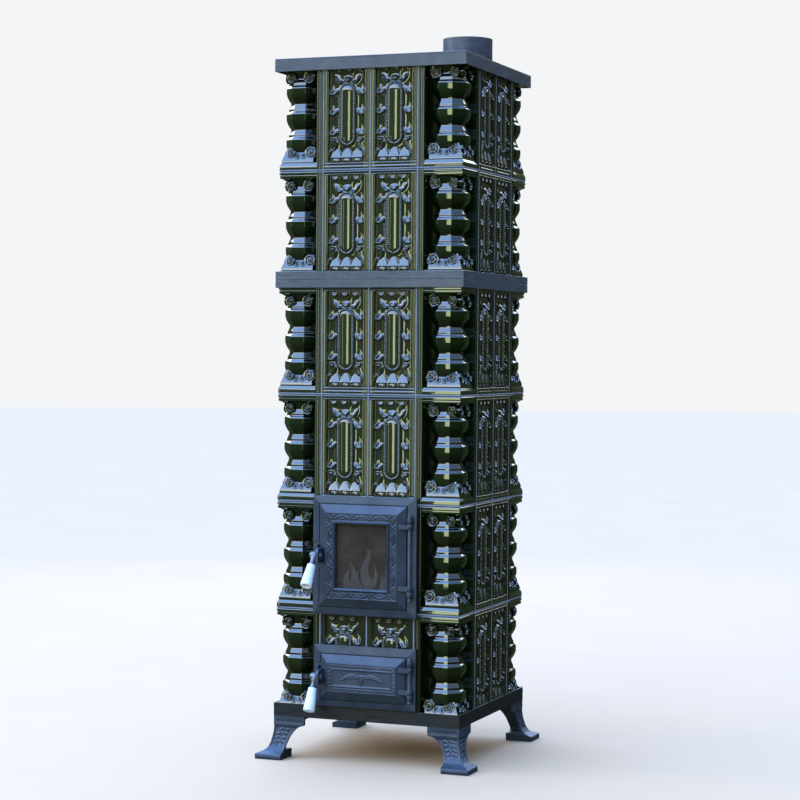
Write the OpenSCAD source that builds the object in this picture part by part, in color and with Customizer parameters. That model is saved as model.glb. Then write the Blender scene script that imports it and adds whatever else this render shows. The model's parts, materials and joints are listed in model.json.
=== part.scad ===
// Wood burning stove: two stacked modules of glazed relief tiles in steel
// frames, lined with firebrick, on four splayed cast legs. A glazed fire door
// and an ash door hang on the front, and a round flue collar leaves the top.

/* [Tiles] */
// Height of one tile
tile_h = 244; // [238:1:250]
// Width of a flat tile
flat_w = 112; // [108:0.5:116]
// Width of each face of a corner tile
corner_w = 108.5; // [104:0.5:112]
// Depth of a tile with its clay filled back
tile_d = 40; // [34:1:46]
// Mortar joint between tiles
joint = 3; // [2:0.5:4]
// Depth of the relief on a tile
relief = 6; // [4:0.5:8]

/* [Legs] */
// Height of the legs
leg_h = 97; // [90:1:110]
// How far a foot stands out past the base frame on each side
splay = 33; // [20:1:40]
// Width of the leg's bracket under the frame
leg_w = 77; // [70:1:84]
// Width of the foot
foot_w = 65; // [60:1:70]

/* [Frames] */
// Height of the base frame's upright flange
base_h = 30.5; // [28:0.5:34]
// Height of the upright flange of each of the two middle frames
band_h = 18.5; // [17:0.5:20]
// Height of the top frame's upright flange
rim_h = 29.5; // [26:0.5:32]
// Thickness of the frames' steel
frame_t = 4; // [4:0.5:5]

/* [Lining] */
// Thickness of the firebricks in the lower module
brick_t = 35; // [32:1:38]
// Thickness of the clay lining in the upper module
clay_t = 12; // [10:1:14]

/* [Fire door] */
// Width of the fire door's frame
fire_frame_w = 252; // [248:1:256]
// Height of the fire door's frame
fire_frame_h = 270; // [266:1:272]
// Width of the fire door
fire_w = 212; // [208:1:214]
// Height of the fire door
fire_h = 233; // [230:1:236]
// Width of the glass opening
glass_w = 126; // [120:1:130]
// Height of the glass opening
glass_h = 146; // [140:1:150]

/* [Ash door] */
// Width of the ash door's frame
ash_frame_w = 248; // [244:1:252]
// Height of the ash door's frame
ash_frame_h = 140; // [138:1:140]
// Width of the ash door
ash_w = 208; // [204:1:210]
// Height of the ash door
ash_h = 103; // [100:1:106]
// Height of the ash pan
pan_h = 58; // [50:1:62]
// Length of the ash pan
pan_l = 280; // [240:1:290]

/* [Flue] */
// Outer diameter of the flue collar
flue_d = 118; // [116:1:122]
// Wall of the flue collar
flue_t = 2; // [1.5:0.5:3]
// Height of the flue collar over the top plate
flue_h = 76; // [70:1:90]

/* [Handles] */
// Distance from the latch pin to the end of the porcelain grip
handle_l = 82; // [78:1:86]
// Lean of the fire door's handle from upright, in degrees
fire_lean = 35; // [30:1:40]
// Lean of the ash door's handle from upright, in degrees
ash_lean = 22; // [18:1:28]

/* [Hidden] */
$fn = 48;

// Plan, measured from the body's axis
half = corner_w + flat_w + 1.5 * joint;
base_half = half + 3;
band_half = half + 5;
rim_half = half + 8;
lining = half - tile_d;
room = lining - brick_t;
upper_room = lining - clay_t;
flat_x = flat_w / 2 + joint / 2;
corner_in = flat_w + 1.5 * joint;
body_y = 32.5;

// Heights
pitch = tile_h + joint;
flange_z = leg_h + frame_t - 1;
plate_t = 3;
row1 = flange_z + plate_t;
band_z = row1 + 4 * pitch - 6.5;
split_z = band_z + band_h;
split_gap = 0.5;
row5 = split_z + split_gap + frame_t + 0.5;
upper_top = row5 + 2 * pitch - joint;
rim_top = upper_top + 2 + 2 * frame_t;
row_z = [for (i = [0:5]) i < 4 ? row1 + i * pitch : row5 + (i - 4) * pitch];
hearth_z = 150;
grate_z = 300;
floor_t = 30;
step_z = grate_z + 4;
lower_baffle_z = 800;
upper_baffle_z = 1335;
baffle_t = 30;
smoke_gap = 95;
lining_top = split_z - frame_t - 1;

// Doors: centre heights, face planes and hinge axis
fire_z = row1 + 372.5;
ash_z = leg_h + base_h + 2 + ash_frame_h / 2;
ash_door_z = ash_z - 2;
door_x = -2;
fire_face = -half - 15;
ash_face = -half - 9;
fire_plate_t = 8;
ash_plate_t = 6;
door_gap = 0.5;
door_edge = 5;
door_rise = 14;
bevel = 18;
hinge_x = 114;
rod_r = 2.75;
bore_r = rod_r + 0.06;
hinge_off = 11.5;
lug_h = 12;
lug_r = 6.5;
fire_open = [190, 204];
ash_open = [184, 88];
box_t = 5;
ash_open_z = hearth_z - 1 + ash_open[1] / 2;
ash_top = ash_open_z + ash_open[1] / 2 + 12;

// Latch: the ear stands on the door and the lever turns on a pin through it
ear_x = -104;
ear_t = 7;
ear_out = 35;
pin_r = 4;
pin_bore = pin_r + 0.06;
pin_out = 22;
hub_r = 9;
hub_w = 12;
hub_x = ear_x - 1 - hub_w;
fire_pin_z = fire_z + 1;
ash_pin_z = ash_door_z + 1.5;
grip_start = 27;
sill_h = 10;

// Ash pan
pan_w = 164;
pan_t = 1.5;
pan_y = ash_face + 48;
pan_z = hearth_z + 0.5;

// Flue
flue_x = 112;
flue_y = 115;
flue_bore = flue_d / 2 - flue_t;

iron = [0.20, 0.26, 0.35];
steel = [0.28, 0.32, 0.39];
glaze = [0.07, 0.13, 0.07];
porcelain = [0.88, 0.92, 0.94];
brick = [0.80, 0.66, 0.48];
clay = [0.62, 0.55, 0.48];
mortar = [0.45, 0.49, 0.56];

// The body's axis stands behind the origin, because the handles reach forward
module body() { translate([0, body_y, 0]) children(); }

// A block from one corner to the opposite one
module block(low, high) { translate(low) cube(high - low); }

// A block centred on x = 0 and standing on z, that runs back from y
module slab(w, y0, y1, z0, z1, x = 0) { block([x - w / 2, y0, z0], [x + w / 2, y1, z1]); }

// ---- Legs -----------------------------------------------------------------

// Front face of the leg at the right front corner, between two heights
module leg_slice(inner, corner, z) {
    translate([inner, -corner, z]) cube([corner - inner, 7, 0.5]);
}

module leg_face() {
    ankle = base_half + splay * 0.3;
    knee = base_half + splay * 0.12;
    hull() {
        leg_slice(base_half - leg_w, base_half, leg_h - 0.5);
        leg_slice(base_half - leg_w, base_half, leg_h - 20);
    }
    hull() {
        leg_slice(base_half - leg_w + 16, base_half, leg_h - 20.2);
        leg_slice(base_half - leg_w * 0.5, knee, leg_h * 0.5);
    }
    hull() {
        leg_slice(base_half - leg_w * 0.5, knee, leg_h * 0.5);
        leg_slice(base_half - leg_w * 0.43, ankle, leg_h * 0.22);
    }
}

// The right front leg; the others are its mirror images
module leg() {
    toe = base_half + splay;
    ankle = base_half + splay * 0.3;
    shin = ankle - base_half + leg_w * 0.43;
    bolt = base_half - 20;
    color(iron) body() {
        leg_face();
        mirror([1, 1, 0]) leg_face();
        hull() {
            block([toe - foot_w, -toe, 12], [toe, -toe + foot_w, 14]);
            block([ankle - shin, -ankle, 22], [ankle, -ankle + shin, 23]);
        }
        block([toe - foot_w, -toe, 0], [toe, -toe + foot_w, 12]);
        difference() {
            block([base_half - 50, -base_half, leg_h - 5], [base_half, -base_half + 50, leg_h]);
            translate([bolt, -bolt, leg_h - 6]) cylinder(r = 4.5, h = 8);
        }
    }
}

module leg_front_right() { leg(); }
module leg_front_left() { mirror([1, 0, 0]) leg(); }
module leg_back_right() { translate([0, 2 * body_y, 0]) mirror([0, 1, 0]) leg(); }
module leg_back_left() { mirror([1, 0, 0]) leg_back_right(); }

// Countersunk bolts down through base plate, frame and leg, with a hexagon nut
module leg_bolts() {
    bolt = base_half - 20;
    top = flange_z + plate_t;
    color("dimgray") body() for (sx = [-1, 1], sy = [-1, 1]) translate([sx * bolt, sy * bolt, 0]) {
        translate([0, 0, top - 2.5]) cylinder(r1 = 4, r2 = 6.5, h = 2.5);
        translate([0, 0, leg_h - 16]) cylinder(r = 4, h = top - 2.5 - leg_h + 16);
        translate([0, 0, leg_h - 12]) cylinder(r = 7.5, h = 6.5, $fn = 6);
    }
}

// ---- Steel frames ---------------------------------------------------------

// One mitred angle bar along the front, from z0 to z1, its flange at the
// bottom (foot = true) or at the top
module angle_bar(out, z0, z1, flange, foot) {
    gap = 0.15;
    flange_z0 = foot ? z0 : z1 - frame_t;
    intersection() {
        union() {
            block([-out, -out, z0], [out, -out + frame_t - 1, z1]);
            block([-out, -out, flange_z0], [out, -out + flange, flange_z0 + frame_t - 1 + (foot ? 0 : 1)]);
        }
        translate([0, 0, z0 - 1]) linear_extrude(z1 - z0 + 2)
            polygon([[-out - 1 + gap, -out - 1], [out + 1 - gap, -out - 1], [0, -gap]]);
    }
}

module ring_of_bars(out, z0, z1, flange, foot) {
    for (a = [0:90:270]) rotate(a) angle_bar(out, z0, z1, flange, foot);
}

module base_frame() {
    difference() {
        color(steel) body() ring_of_bars(base_half, leg_h, leg_h + base_h, 34, true);
        body() bolt_holes(leg_h - 1);
    }
}

module bolt_holes(z) {
    bolt = base_half - 20;
    for (sx = [-1, 1], sy = [-1, 1]) translate([sx * bolt, sy * bolt, z]) cylinder(r = 4.5, h = 5);
}

module base_plate() {
    bolt = base_half - 20;
    top = flange_z + plate_t;
    in = base_half - frame_t + 1 - 0.2;
    color(steel) body() difference() {
        block([-in, -in, flange_z], [in, in, top]);
        for (sx = [-1, 1], sy = [-1, 1]) translate([sx * bolt, sy * bolt, 0]) {
            translate([0, 0, flange_z - 1]) cylinder(r = 4.5, h = plate_t + 2);
            translate([0, 0, top - 2.5]) cylinder(r1 = 4.5, r2 = 7, h = 2.51);
        }
    }
}

module lower_top_frame() {
    color(steel) body() ring_of_bars(band_half, band_z, split_z, 60, false);
}

module upper_base_frame() {
    z = split_z + split_gap;
    color(steel) body() ring_of_bars(band_half, z, z + band_h, 60, true);
}

module top_frame() {
    color(steel) body() ring_of_bars(rim_half, rim_top - rim_h, rim_top - plate_t, 34, false);
}

// Cover of the stove, with the hole that the flue collar stands in
module top_plate() {
    color(steel) body() difference() {
        block([-rim_half, -rim_half, rim_top - plate_t], [rim_half, rim_half, rim_top]);
        translate([flue_x, flue_y, rim_top - 10]) cylinder(r = flue_d / 2 + 0.1, h = 20);
    }
}

// Tube with a welded flange on the plate, open at both ends
module flue_collar() {
    color(steel) body() translate([flue_x, flue_y, 0]) difference() {
        union() {
            translate([0, 0, rim_top - plate_t]) cylinder(r = flue_d / 2, h = flue_h + plate_t, $fn = 96);
            translate([0, 0, rim_top]) cylinder(r = flue_d / 2 + 9, h = 2, $fn = 96);
        }
        translate([0, 0, rim_top - plate_t - 1]) cylinder(r = flue_bore, h = flue_h + plate_t + 2, $fn = 96);
    }
}

// ---- Lining ---------------------------------------------------------------

// Floor of the ash compartment, which the pan slides on
module hearth_bricks() {
    color(brick) body() block([-room + 0.5, -room + 0.5, row1], [room - 0.5, room - 0.5, hearth_z]);
}

// Upright hole through a floor, centred on the body's axis
module floor_hole(size, z0, z1) {
    block([-size[0] / 2, -size[1] / 2, z0], [size[0] / 2, size[1] / 2, z1]);
}

grate_size = [178, 228];
ledge = 9;

// Floor of the firebox, with a stepped hole for the grate
module firebox_floor() {
    under = grate_z - 10;
    top = under + floor_t;
    color(brick) body() difference() {
        block([-room + 0.5, -room + 0.5, under], [room - 0.5, room - 0.5, top]);
        floor_hole(grate_size - 2 * [ledge, ledge], under - 1, top + 1);
        floor_hole(grate_size + [2, 2], step_z, top + 1);
    }
}

// Cast grate with two rows of slots
module grate() {
    slots = 9;
    edge = 3;
    slot_w = 10;
    bridge = 14;
    slot_l = 90;
    grate_t = 12;
    step = (grate_size[0] - 2 * edge) / slots;
    color("dimgray") body() difference() {
        floor_hole(grate_size, step_z, step_z + grate_t);
        for (i = [0:slots - 1], s = [-1, 1])
            translate([edge - grate_size[0] / 2 + step * (i + 0.5), s * (bridge + slot_l) / 2, step_z])
                cube([slot_w, slot_l, 3 * grate_t], center = true);
    }
}

// Side and back walls of the lower module, each one course of firebricks thick
module firebrick_walls() {
    color(brick) body() {
        for (s = [0, 1]) mirror([s, 0, 0]) block([room, -room, row1], [lining - 0.5, room, lining_top]);
        block([-lining + 0.5, room + 0.5, row1], [lining - 0.5, lining - 0.5, lining_top]);
    }
}

// Front wall of the lower module, with the two door openings
module firebrick_front() {
    color(brick) body() difference() {
        block([-lining + 0.5, -lining + 0.5, row1], [lining - 0.5, -room - 0.5, lining_top]);
        door_hole(fire_open, fire_z);
        door_hole(ash_open, ash_open_z);
    }
}

// Space that a door frame's box takes up in the wall behind it
module door_hole(open, z) {
    w = open[0] + 2 * box_t + 1;
    h = open[1] + 2 * box_t + 1;
    slab(w, -half - 40, -room + 5, z - h / 2, z + h / 2);
}

// Slabs that make the smoke travel up, back and forward
module lower_baffle() {
    color(brick) body() block([-room + 0.5, -room + 0.5, lower_baffle_z],
        [room - 0.5, room - smoke_gap, lower_baffle_z + baffle_t]);
}

module upper_baffle() {
    r = upper_room - 0.5;
    color(brick) body() block([-r, smoke_gap + 18 - upper_room, upper_baffle_z],
        [r, r, upper_baffle_z + baffle_t - 5]);
}

module upper_lining() {
    z0 = row5;
    r = upper_room;
    color(clay) body() for (a = [0:90:270]) rotate(a)
        block([-r + (a % 180 == 0 ? -clay_t + 0.5 : 0.5), -lining + 0.5, z0],
              [r + (a % 180 == 0 ? clay_t - 0.5 : -0.5), -r, upper_top]);
}

// ---- Tiles ----------------------------------------------------------------

// Upright oval on the tile's face
module stadium(w, h) {
    translate([0, (h - w) / 2]) circle(w / 2);
    translate([0, -(h - w) / 2]) circle(w / 2);
    square([w, h - w], center = true);
}

// Flat tile on the front wall: a moulded border round a sunken field, with a
// long medallion between drapery hooks and three petals at its foot
module flat_tile(x, z, cut = 0) {
    field_w = flat_w - 30;
    translate([x, -half, z]) difference() {
        block([-flat_w / 2, 0, cut], [flat_w / 2, tile_d, tile_h]);
        difference() {
            block([-field_w / 2, -1, 34], [field_w / 2, relief, tile_h - 20]);
            translate([0, 10, tile_h * 0.55]) rotate([90, 0, 0]) linear_extrude(9) stadium(36, 148);
            for (i = [-1:1]) translate([i * 26, 10, 48]) rotate([90, 0, 0])
                linear_extrude(8) polygon([[-12, -14], [12, -14], [0, 16]]);
            for (s = [-1, 1], k = [-1:1]) translate([s * field_w / 2, 10, tile_h * 0.55 + k * 56])
                rotate([90, 0, 0]) linear_extrude(8) polygon([[s * 2, -10], [s * 2, 10], [-s * 12, 4]]);
        }
        for (s = [-1, 1]) translate([s * (flat_w / 2 - 8), -1, 8]) cube([2.5, 3, tile_h - 16]);
    }
}

// Eight sided column on the corner: three rings with sloped tops over round
// undersides, between a flared base and a flared capital
module baluster() {
    waist = 31;
    ring = 42;
    flare = 44;
    ring_h = 16;
    ring_step = 58;
    lowest = 55;
    rings = [for (i = [0:2]) let (z = lowest + i * ring_step) each [
        [waist, z - 19], [ring - 2, z - 6], [ring, z], [ring, z + ring_h],
        [waist + 4, z + ring_h + 12], [waist, z + ring_h + 20]
    ]];
    profile = concat([[0, 18], [flare, 18], [flare, 24]], rings, [[flare, 226], [flare, 236], [0, 236]]);
    rotate(22.5) rotate_extrude($fn = 8)
        polygon([for (p = profile) [p[0] / cos(22.5), p[1]]]);
}

// Corner tile at the right front: an L of two faces, each with a border strip
// beside a niche, and the column standing in the corner between plinth and cap
module corner_tile(z) {
    axis = half - 47;
    strip = 15;
    niche = 30;
    translate([0, 0, z]) {
        difference() {
            union() {
                block([half - corner_w, -half, 0], [half, -half + tile_d, tile_h]);
                block([half - tile_d, -half, 0], [half, -half + corner_w, tile_h]);
            }
            block([half - corner_w + strip, -half - 1, 20], [half + 1, -half + niche, tile_h - 14]);
            block([half - niche, -half - 1, 20], [half + 1, -half + corner_w - strip, tile_h - 14]);
        }
        difference() {
            translate([axis, -axis, 0]) baluster();
            block([0, -half + tile_d, -1], [half - tile_d, 0, tile_h + 1]);
        }
    }
}

module corner_row(i) {
    color(glaze) body() for (a = [0:90:270]) rotate(a) corner_tile(row_z[i - 1]);
}

module front_row(i) {
    color(glaze) body() for (s = [-1, 1]) flat_tile(s * flat_x, row_z[i - 1]);
}

module wall_row(i) {
    color(glaze) body() for (a = [90:90:270], s = [-1, 1]) rotate(a) flat_tile(s * flat_x, row_z[i - 1]);
}

module corner_tiles_row_1() { corner_row(1); }
module corner_tiles_row_2() { corner_row(2); }
module corner_tiles_row_3() { corner_row(3); }
module corner_tiles_row_4() { corner_row(4); }
module corner_tiles_row_5() { corner_row(5); }
module corner_tiles_row_6() { corner_row(6); }

// Over the ash door the front tiles are cut to their upper part
module front_tiles_row_1() {
    color(glaze) body() for (s = [-1, 1]) flat_tile(s * flat_x, row_z[0], ash_top - row1);
}

module front_tiles_row_3() { front_row(3); }
module front_tiles_row_4() { front_row(4); }
module front_tiles_row_5() { front_row(5); }
module front_tiles_row_6() { front_row(6); }
module wall_tiles_row_1() { wall_row(1); }
module wall_tiles_row_2() { wall_row(2); }
module wall_tiles_row_3() { wall_row(3); }
module wall_tiles_row_4() { wall_row(4); }
module wall_tiles_row_5() { wall_row(5); }
module wall_tiles_row_6() { wall_row(6); }

// Beds between the rows and upright joints between the tiles, struck almost
// flush with the glaze
mortar_back = 1;

module mortar_bed(z0, z1) {
    out = half - mortar_back;
    difference() {
        block([-out, -out, z0], [out, out, z1]);
        block([-lining, -lining, z0 - 1], [lining, lining, z1 + 1]);
    }
}

module mortar_upright(x, z0, z1) { slab(joint, -half + mortar_back, -lining, z0, z1, x); }

module mortar_joints() {
    edge = corner_in - joint / 2;
    cut = ash_top + 1;
    color(mortar) body() {
        for (i = [1:5]) if (i != 4) mortar_bed(row_z[i] - joint, row_z[i]);
        mortar_bed(row_z[3] + tile_h, split_z - frame_t);
        for (i = [0:5], a = [0:90:270], x = [-edge, 0, edge]) rotate(a)
            if (a > 0 || i > 1) mortar_upright(x, row_z[i], row_z[i] + tile_h);
        for (x = [-edge, 0, edge]) mortar_upright(x, cut, row1 + tile_h);
    }
}

// Clay packed round the boxes of the door frames, between the corner tiles
module door_surround() {
    w = 2 * corner_in;
    color(clay) body() {
        difference() {
            slab(w, -half + 1, -lining, row_z[1], row_z[1] + tile_h);
            door_hole(fire_open, fire_z);
        }
        difference() {
            slab(w, -half + 1, -lining, row1, ash_top - 0.5);
            door_hole(ash_open, ash_open_z);
        }
    }
}

// ---- Doors ----------------------------------------------------------------

// Cast frame: a plate with an opening and a box that reaches into the wall
module door_frame(face, t, size, z, open, open_z, rod_y, lugs, keeper_z) {
    color(iron) body() difference() {
        union() {
            slab(size[0], face, face + t, z - size[1] / 2, z + size[1] / 2);
            slab(open[0] + 2 * box_t, face + t, -room - 0.5,
                open_z - open[1] / 2 - box_t, open_z + open[1] / 2 + box_t);
            for (l = lugs) frame_lug(face, rod_y, l[0], l[1]);
            keeper(face, keeper_z);
        }
        slab(open[0], face - 1, 0, open_z - open[1] / 2, open_z + open[1] / 2);
        for (l = lugs) translate([hinge_x, rod_y, l[0] - 1]) cylinder(r = bore_r, h = l[1] - l[0] + 2);
    }
}

// Eye on the frame that the hinge rod stands in
module frame_lug(face, rod_y, z0, z1) {
    translate([hinge_x, rod_y, z0]) cylinder(r = lug_r, h = z1 - z0);
    block([hinge_x - 1, rod_y, z0], [hinge_x + lug_r, face, z1]);
}

// Hook on the left jamb, whose lip the lever's claw rises behind
module keeper(face, z) {
    x0 = hub_x + 1;
    block([x0, face - 17, z + 17], [x0 + 8, face, z + 24]);
    block([x0, face - 17, z + 12], [x0 + 8, face - 13, z + 17]);
}

module hinge_rod(rod_y, z0, z1) {
    color(iron) body() translate([hinge_x, rod_y, 0]) {
        translate([0, 0, z0]) cylinder(r = rod_r, h = z1 - z0);
        translate([0, 0, z1]) cylinder(r = 5, h = 6);
        translate([0, 0, z0 - 5]) cylinder(r = 4.5, h = 5);
    }
}

// Cast door leaf with bevelled edges and a raised middle
module leaf(back, w, h, z) {
    hull() {
        slab(w, back - door_edge, back, z - h / 2, z + h / 2, door_x);
        slab(w - 2 * bevel, back - door_rise, back, z - h / 2 + bevel, z + h / 2 - bevel, door_x);
    }
}

// Arm from the leaf to the rod, with its eye
module door_lug(rod_y, z) {
    translate([hinge_x, rod_y, z - lug_h / 2]) cylinder(r = lug_r, h = lug_h);
    block([hinge_x - 26, rod_y - 5, z - lug_h / 2 + 1], [hinge_x - 2, rod_y + 5, z + lug_h / 2 - 1]);
}

// Ear on the leaf that carries the latch pin
module ear(back, z) {
    y0 = back - door_edge - ear_out;
    block([ear_x, y0 + 12, z - 17], [ear_x + ear_t, back - door_edge + 2, z + 17]);
    block([ear_x, y0, z - 17], [ear_x + ear_t, y0 + 12, z + 5]);
    translate([ear_x, y0 + 12, z + 5]) rotate([0, 90, 0]) cylinder(r = 12, h = ear_t);
}

function rod_y(face) = face - hinge_off;
function pin_y(face) = face - door_gap - door_edge - pin_out;

module rod_and_pin_bores(face, lugs, pin_z) {
    for (z = lugs) translate([hinge_x, rod_y(face), z - lug_h]) cylinder(r = bore_r, h = 2 * lug_h);
    translate([ear_x - 1, pin_y(face), pin_z]) rotate([0, 90, 0]) cylinder(r = pin_bore, h = ear_t + 2);
}

fire_lugs = [fire_z + 71, fire_z - 68];
ash_lugs = [ash_door_z + 25.5, ash_door_z - 24];

module fire_door_frame() {
    door_frame(fire_face, fire_plate_t, [fire_frame_w, fire_frame_h], fire_z, fire_open, fire_z,
        rod_y(fire_face),
        [[fire_lugs[0] + 8, fire_lugs[0] + 19], [fire_lugs[1] - 20, fire_lugs[1] - 6.5]], fire_pin_z);
}

module fire_door_hinge_rod() { hinge_rod(rod_y(fire_face), fire_lugs[1] - 22, fire_lugs[0] + 21); }

module fire_door() {
    back = fire_face - door_gap;
    color(iron) body() difference() {
        union() {
            leaf(back, fire_w, fire_h, fire_z);
            slab(184, back - 1, back + 4.5, fire_z - 99, fire_z + 99, 0);
            for (z = fire_lugs) door_lug(rod_y(fire_face), z);
            ear(back, fire_pin_z);
        }
        slab(glass_w, back - 20, back + 20, fire_z - glass_h / 2, fire_z + glass_h / 2, door_x);
        slab(glass_w + 22, back - 6.5, back + 20, fire_z - glass_h / 2 - 11, fire_z + glass_h / 2 + 11, door_x);
        seal_groove(back);
        rod_and_pin_bores(fire_face, fire_lugs, fire_pin_z);
    }
}

// Square channel behind the leaf, round the opening
module seal_groove(back) {
    difference() {
        slab(204, back - 3, back + 6, fire_z - 109, fire_z + 109, 0);
        slab(184, back - 4, back + 7, fire_z - 99, fire_z + 99, 0);
    }
}

// Rope seal pressed into the channel
module fire_door_seal() {
    back = fire_face - door_gap;
    color("gainsboro") body() difference() {
        slab(203, back - 3, back, fire_z - 108.5, fire_z + 108.5, 0);
        slab(185, back - 4, back + 1, fire_z - 99.5, fire_z + 99.5, 0);
    }
}

module fire_door_glass() {
    back = fire_face - door_gap;
    color([0.30, 0.27, 0.25, 0.5]) body()
        slab(glass_w + 20, back - 6.5, back - 2.5, fire_z - glass_h / 2 - 10, fire_z + glass_h / 2 + 10, door_x);
}

// Spring clips and screws that hold the glass in the leaf
module glass_clips() {
    back = fire_face - door_gap;
    color("dimgray") body() for (s = [-1, 1]) {
        translate([door_x - 10, back - 1.4, fire_z + s * (glass_h / 2 + 6) - 4]) cube([20, 1.3, 8]);
        translate([door_x + s * (glass_w / 2 + 6.5), back - 1, fire_z]) rotate([90, 0, 0]) cylinder(r = 4, h = 1.4);
    }
}

// Outline of one tongue of flame, from its left foot over its leaning tip
function tongue(x, h, w, lean) = [
    for (p = [[-w, 0], [-0.9 * w, 0.25 * h], [-0.35 * w, 0.42 * h], [-0.1 * w, 0.62 * h], [lean, h],
              [0.45 * w, 0.66 * h], [0.55 * w, 0.45 * h], [0.5 * w, 0.3 * h], [w, 0.2 * h], [w, 0]])
        [x + p[0], sill_h + p[1]]
];

// Cut sheet flames that stand behind the glass
module flame_screen() {
    back = fire_face - door_gap;
    foot = fire_z - glass_h / 2 - 9;
    end = glass_w / 2 - 1;
    outline = concat([[-end, 0], [-end, sill_h]], tongue(-38, 56, 16, 2), tongue(10, 96, 24, -4),
        tongue(49, 48, 11, -2), [[end, sill_h], [end, 0]]);
    color("gray") body() translate([door_x, back - 1.5, foot]) rotate([90, 0, 0])
        linear_extrude(0.9) polygon(outline);
}

module ash_door_frame() {
    door_frame(ash_face, ash_plate_t, [ash_frame_w, ash_frame_h], ash_z, ash_open, ash_open_z,
        rod_y(ash_face),
        [[ash_lugs[0] + 8, ash_lugs[0] + 20], [ash_lugs[1] - 18, ash_lugs[1] - 6.5]], ash_pin_z);
}

module ash_door_hinge_rod() { hinge_rod(rod_y(ash_face), ash_lugs[1] - 19, ash_lugs[0] + 21); }

module ash_door() {
    back = ash_face - door_gap;
    color(iron) body() difference() {
        union() {
            leaf(back, ash_w, ash_h, ash_door_z);
            slab(ash_open[0] - 8, back - 1, back + 4, ash_open_z - 40, ash_open_z + 40, 0);
            for (z = ash_lugs) door_lug(rod_y(ash_face), z);
            ear(back, ash_pin_z);
        }
        slab(ash_open[0] - 20, back - 8, back + 5, ash_open_z - 34, ash_open_z + 34, 0);
        rod_and_pin_bores(ash_face, ash_lugs, ash_pin_z);
    }
}

// Pin through the ear, riveted on both sides
module lever_pin(face, z) {
    color(iron) body() translate([0, pin_y(face), z]) rotate([0, 90, 0]) {
        translate([0, 0, hub_x - 1]) cylinder(r = pin_r, h = ear_x + ear_t - hub_x + 2);
        translate([0, 0, ear_x + ear_t + 0.5]) cylinder(r = 6, h = 3);
        translate([0, 0, hub_x - 4]) cylinder(r = 6, h = 3.5);
    }
}

// Forged lever: hub, claw towards the frame, and the rod that the grip is on
module lever(face, z, lean) {
    color(iron) body() translate([hub_x, pin_y(face), z]) difference() {
        union() {
            rotate([0, 90, 0]) cylinder(r = hub_r, h = hub_w);
            claw();
            translate([hub_w / 2, 0, 0]) rotate([180 - lean, 0, 0]) cylinder(r = 4.5, h = handle_l - 8);
        }
        translate([-1, 0, 0]) rotate([0, 90, 0]) cylinder(r = pin_bore, h = hub_w + 2);
    }
}

// The claw reaches back from the hub and turns up under the keeper's lip
module claw() {
    translate([2, 0, 0]) rotate([90, 0, 90]) linear_extrude(6)
        polygon([[0, -4], [25, -4], [25.5, 9.5], [21, 9.5], [20, 3], [0, 4]]);
}

// Porcelain grip, wider at its end, with the hole that the rod comes up to
module grip(face, z, lean) {
    l = handle_l - grip_start;
    color(porcelain) body() translate([hub_x + hub_w / 2, pin_y(face), z]) rotate([180 - lean, 0, 0])
        translate([0, 0, grip_start]) rotate_extrude()
            polygon([
                [4.56, 0], [8.5, 0], [10, 2], [14, l - 4], [12.5, l], [6, l], [6, l - 8 + 0.2], [4.56, l - 8 + 0.2]
            ]);
}

module fire_door_lever_pin() { lever_pin(fire_face, fire_pin_z); }
module fire_door_lever() { lever(fire_face, fire_pin_z, fire_lean); }
module fire_door_grip() { grip(fire_face, fire_pin_z, fire_lean); }
module ash_door_lever_pin() { lever_pin(ash_face, ash_pin_z); }
module ash_door_lever() { lever(ash_face, ash_pin_z, ash_lean); }
module ash_door_grip() { grip(ash_face, ash_pin_z, ash_lean); }

// Folded sheet pan, open at the top
module ash_pan() {
    color("slategray") body() difference() {
        slab(pan_w, pan_y, pan_y + pan_l, pan_z, pan_z + pan_h);
        slab(pan_w - 2 * pan_t, pan_y + pan_t, pan_y + pan_l - pan_t, pan_z + pan_t, pan_z + pan_h + 1);
    }
}

// Bail welded to the front of the pan
module ash_pan_handle() {
    bail_w = 80;
    bail_out = 22;
    bar = 8;
    z = pan_z + 34;
    color("slategray") body() difference() {
        slab(bail_w, pan_y - bail_out, pan_y, z, z + bar);
        slab(bail_w - 2 * bar, pan_y - bail_out + bar, pan_y + 1, z - 1, z + bar + 1);
    }
}

leg_front_left();
leg_front_right();
leg_back_left();
leg_back_right();
leg_bolts();
base_frame();
base_plate();
lower_top_frame();
upper_base_frame();
top_frame();
top_plate();
flue_collar();
hearth_bricks();
firebox_floor();
grate();
firebrick_walls();
firebrick_front();
lower_baffle();
upper_lining();
upper_baffle();
mortar_joints();
door_surround();
corner_tiles_row_1();
corner_tiles_row_2();
corner_tiles_row_3();
corner_tiles_row_4();
corner_tiles_row_5();
corner_tiles_row_6();
front_tiles_row_1();
front_tiles_row_3();
front_tiles_row_4();
front_tiles_row_5();
front_tiles_row_6();
wall_tiles_row_1();
wall_tiles_row_2();
wall_tiles_row_3();
wall_tiles_row_4();
wall_tiles_row_5();
wall_tiles_row_6();
fire_door_frame();
fire_door_hinge_rod();
fire_door();
fire_door_glass();
glass_clips();
fire_door_seal();
flame_screen();
fire_door_lever_pin();
fire_door_lever();
fire_door_grip();
ash_door_frame();
ash_door_hinge_rod();
ash_door();
ash_door_lever_pin();
ash_door_lever();
ash_door_grip();
ash_pan();
ash_pan_handle();
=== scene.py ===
import json
import math

import bpy
import numpy as np
from mathutils import Matrix, Vector


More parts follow.
